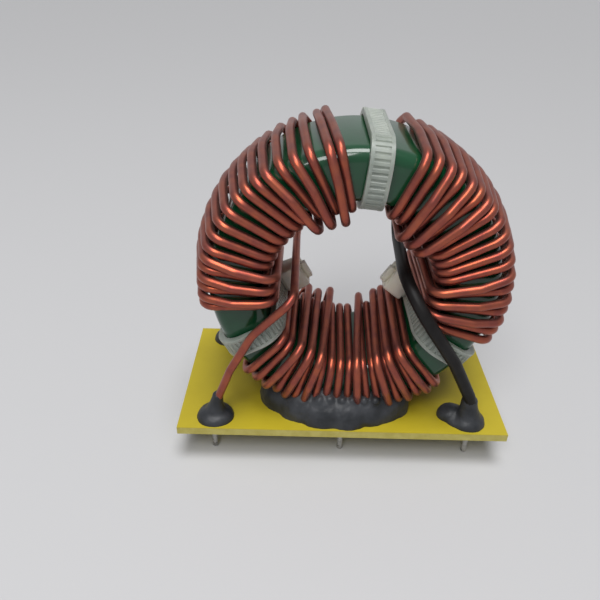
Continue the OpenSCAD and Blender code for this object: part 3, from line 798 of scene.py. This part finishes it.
def cure(parts, name, lump, node):
    """Runs the balls and cones into one skin with lumps, and cuts it level with the board."""
    bpy.ops.object.select_all(action="DESELECT")
    for part in parts:
        part.select_set(True)
    bpy.context.view_layer.objects.active = parts[0]
    bpy.ops.object.join()
    mass = bpy.context.object
    mass.name = name
    merge = mass.modifiers.new("merge", "REMESH")
    merge.mode = "VOXEL"
    merge.voxel_size = SILICONE_CELL * MM
    relax = mass.modifiers.new("relax", "SMOOTH")
    relax.factor = 0.5
    relax.iterations = 8
    swell_out = mass.modifiers.new("swell", "DISPLACE")
    swell_out.texture = lumps
    swell_out.texture_coords = "LOCAL"
    swell_out.strength = lump * MM
    swell_out.mid_level = 0.6
    for modifier_name in ("merge", "relax", "swell"):
        bpy.ops.object.modifier_apply(modifier=modifier_name)
    bpy.ops.object.mode_set(mode="EDIT")
    bpy.ops.mesh.select_all(action="SELECT")
    bpy.ops.mesh.bisect(
        plane_co=(0, 0, BOARD_TOP * MM), plane_no=(0, 0, 1), use_fill=True, clear_inner=True
    )
    bpy.ops.object.mode_set(mode="OBJECT")
    bpy.ops.object.shade_smooth_by_angle(angle=math.radians(50))
    dress(mass, silicone)
    put_down(mass, "silicone", node)


mound = [
    blob(-10.4, -6.4, BOARD_TOP, 5.6, 5.6, 7.6),
    blob(-7, -8.3, BOARD_TOP, 6, 6, 6.9),
    blob(-3.4, -8.9, BOARD_TOP, 6.6, 6.8, 6.3),
    blob(0.6, -8.9, BOARD_TOP, 7, 6.9, 6.1),
    blob(4.4, -8.2, BOARD_TOP, 6.6, 6.6, 6.3),
    blob(7.4, -7.6, BOARD_TOP, 6.1, 6.2, 6.9),
    blob(-10.4, 6.4, BOARD_TOP, 5.6, 5.6, 7.6),
    blob(-6, 8.2, BOARD_TOP, 6, 6, 6.6),
    blob(-1, 8.6, BOARD_TOP, 7.2, 6.6, 6),
    blob(3.4, 8.2, BOARD_TOP, 6.4, 6.4, 6.2),
    blob(7.2, 7.4, BOARD_TOP, 5.9, 6, 6.7),
    blob(-1.5, 0, BOARD_TOP, 11, 9, 5),
]
# The turns pressed ridges out of the mound's front while it was soft, one between each two
feet = [corner for corner, _ in bottom_turns if corner.y < RING.y and (corner - RING).length > OUT_R]
for one, two in zip(feet, feet[1:]):
    between = (one + two) / 2
    if between.z < BOARD_TOP + RIDGE_END:
        mound.append(blob(between.x, between.y - RIDGE_OUT, BOARD_TOP + RIDGE_Z, *RIDGE))
cure(mound, "silicone_mound", 0.9, "silicone_bed")
for side, row, name in ((-1, -1, "front_left"), (-1, 1, "rear_left"), (1, 1, "rear_right")):
    parts = [
        neck(side * PIN_X, row * PIN_Y, -side * 1.3, 3.5, 1.1),
        blob(side * PIN_X + 0.5, row * PIN_Y, BOARD_TOP, 3.6, 3.3, 2.2),
    ]
    cure(parts, "silicone_cone_on_" + name, 0.5, "silicone_cone_" + name)
parts = [
    neck(PIN_X - 0.2, -PIN_Y + 0.2, -0.7, 3.4, 1.5),
    blob(PIN_X - 0.6, -PIN_Y, BOARD_TOP, 3.4, 3.1, 2.2),
    blob(PIN_X - 3.2, -PIN_Y + 1.6, BOARD_TOP, 3, 2.5, 2.4),
    blob(PIN_X - 2, -PIN_Y + 0.5, BOARD_TOP, 3, 2.8, 1.7),
]
cure(parts, "silicone_cone_on_front_right", 0.5, "silicone_cone_front_right")

# ---- Floor, light and camera ----
# A plain pale table top under an even sky, a soft light from above and a small one in front.
# The sky lights at its plain strength, and adds to it where it is seen, mirrored or looked through.
PALE = (0.5, 0.5, 0.51, 1)
SKY_TINT = (0.97, 0.98, 1, 1)
PLAIN_SKY = 0.16
ADDED_SKY = {"Is Camera Ray": 0.42, "Is Glossy Ray": 0.3, "Is Transmission Ray": 0.42}
bpy.ops.mesh.primitive_plane_add(size=8, location=(0, 0, 0))
floor = bpy.context.object
floor.name = "floor"
paper, nodes, links, shader, place = start_finish("pale_table")
shader.inputs["Base Color"].default_value = PALE
shader.inputs["Roughness"].default_value = 0.7
dress(floor, paper)

world = bpy.data.worlds.new("sky")
bpy.context.scene.world = world
world.use_nodes = True
sky = world.node_tree.nodes
sky["Background"].inputs["Color"].default_value = SKY_TINT
ray = sky.new("ShaderNodeLightPath")
plain = sky.new("ShaderNodeValue")
plain.outputs["Value"].default_value = PLAIN_SKY
strength = plain.outputs["Value"]
for kind, added in ADDED_SKY.items():
    step = sky.new("ShaderNodeMath")
    step.operation = "MULTIPLY_ADD"
    step.inputs[1].default_value = added
    world.node_tree.links.new(ray.outputs[kind], step.inputs[0])
    world.node_tree.links.new(strength, step.inputs[2])
    strength = step.outputs["Value"]
world.node_tree.links.new(strength, sky["Background"].inputs["Strength"])


def shine(kind, name, at, power):
    """A light that points at the middle of the ring."""
    bpy.ops.object.light_add(type=kind, location=at)
    light = bpy.context.object
    light.name = name
    light.data.energy = power
    light.rotation_euler = (RING * MM - Vector(at)).to_track_quat("-Z", "Y").to_euler()
    return light.data


shine("SUN", "light_above", (0.03, -0.07, 0.6), 2.35).angle = math.radians(30)
shine("AREA", "light_front", (-0.1, -0.3, 0.42), 1.2).size = 0.2

# The camera looks down and a little to the left of the ring, and is turned a little about its axis
CAMERA_AT = Vector((-8.12, -94.24, 87.07)) * MM
PITCH, YAW, ROLL = (math.radians(a) for a in (32.651, -0.215, 1.222))
LENS = 34.84
FILM_W = 36
ahead = Vector((math.sin(YAW) * math.cos(PITCH), math.cos(YAW) * math.cos(PITCH), -math.sin(PITCH)))
level = Vector((math.cos(YAW), -math.sin(YAW), 0))
above = level.cross(ahead)
right = math.cos(ROLL) * level + math.sin(ROLL) * above
up = -math.sin(ROLL) * level + math.cos(ROLL) * above
bpy.ops.object.camera_add(location=CAMERA_AT)
camera = bpy.context.object
camera.rotation_euler = Matrix((right, up, -ahead)).transposed().to_euler()
camera.data.sensor_width = FILM_W
camera.data.lens = LENS
camera.data.clip_start = MM
bpy.context.scene.camera = camera
bpy.context.scene.view_settings.view_transform = "Standard"
